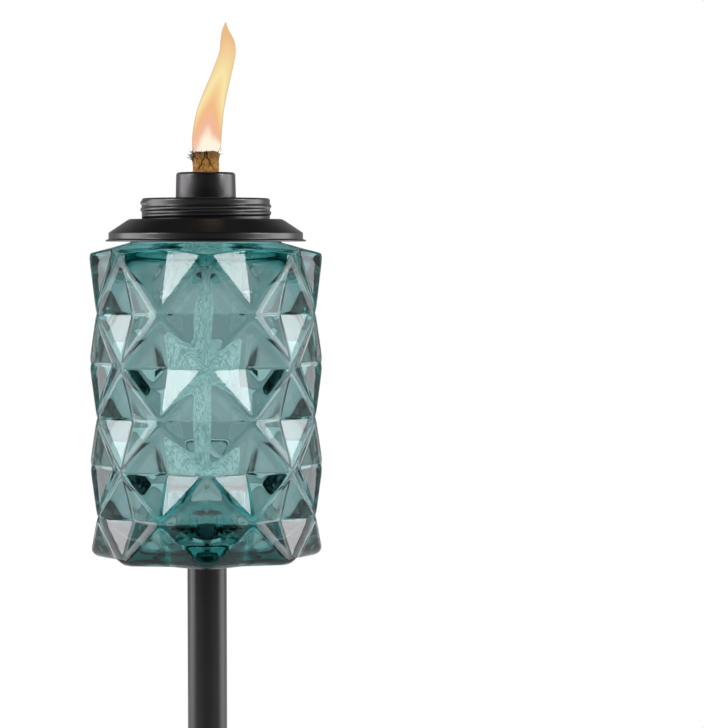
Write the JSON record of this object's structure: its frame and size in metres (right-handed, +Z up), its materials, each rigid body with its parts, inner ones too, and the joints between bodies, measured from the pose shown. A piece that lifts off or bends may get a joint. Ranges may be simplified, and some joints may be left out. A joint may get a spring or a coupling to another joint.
{
  "type": "garden torch",
  "caption": "Tall garden torch: a faceted coloured-glass oil font with a screw-on black metal lid and lit wick, on a sectional steel pole with a ground stake.",
  "frame": {"origin": "on the pole's axis at ground level, 200 mm above the stake's point", "axes": "+Z up along the pole, -Y towards the viewer, +X to the viewer's right; the glass is eight-fold symmetric about Z with a ridge line facing -Y"},
  "size_m": [0.111, 0.111, 1.7128],
  "materials": {
    "black_paint": "satin",
    "zinc_steel": "satin",
    "spring_steel": "satin",
    "rubber": "matt",
    "coloured_glass": "gloss",
    "wick_fibre": "matt",
    "flame_gas": "gloss"
  },
  "bodies": {
    "pole_bottom_body": {"pole_lower": "black_paint", "stake_tip": "black_paint", "joint_spigot_lower": "zinc_steel"},
    "pole_middle_body": {"pole_middle": "black_paint", "joint_spigot_upper": "zinc_steel"},
    "pole_top_body": {"pole_upper": "black_paint", "pole_stud": "zinc_steel"},
    "font_lift_body": {"base_washer": "rubber"},
    "font_body": {"glass_font": "coloured_glass"},
    "lid_lift_body": {"lid_gasket": "rubber"},
    "lid_body": {"lid_skirt": "black_paint", "lid_thread_liner": "black_paint", "snuffer_thread_cup": "black_paint", "wick_collar": "black_paint", "wick_tube": "zinc_steel", "tube_push_nut": "spring_steel"},
    "wick_body": {"wick": "wick_fibre", "flame": "flame_gas"}
  },
  "joints": [
    {"name": "pole_joint_lower", "type": "slide", "parent": "pole_bottom_body", "child": "pole_middle_body", "axis": [0, 0, 1], "range_m": [0, 0.05]},
    {"name": "pole_joint_upper", "type": "slide", "parent": "pole_middle_body", "child": "pole_top_body", "axis": [0, 0, 1], "range_m": [0, 0.05]},
    {"name": "font_lift", "type": "slide", "parent": "pole_top_body", "child": "font_lift_body", "axis": [0, 0, 1], "range_m": [0, 0.0101]},
    {"name": "font_turn", "type": "hinge", "parent": "font_lift_body", "child": "font_body", "pos_m": [0, 0, 1.2557], "axis": [0, 0, 1], "range_deg": [0, 720]},
    {"name": "lid_lift", "type": "slide", "parent": "font_body", "child": "lid_lift_body", "axis": [0, 0, 1], "range_m": [0, 0.0049]},
    {"name": "lid_turn", "type": "hinge", "parent": "lid_lift_body", "child": "lid_body", "pos_m": [0, 0, 1.4157], "axis": [0, 0, 1], "range_deg": [0, 432]},
    {"name": "wick_adjust", "type": "slide", "parent": "lid_body", "child": "wick_body", "axis": [0, 0, 1], "range_m": [-0.004, 0.012]}
  ],
  "couplings": [
    {"joint": "font_lift", "follows": "font_turn", "m_per_rad": 0.00079577},
    {"joint": "lid_lift", "follows": "lid_turn", "m_per_rad": 0.00063662}
  ]
}
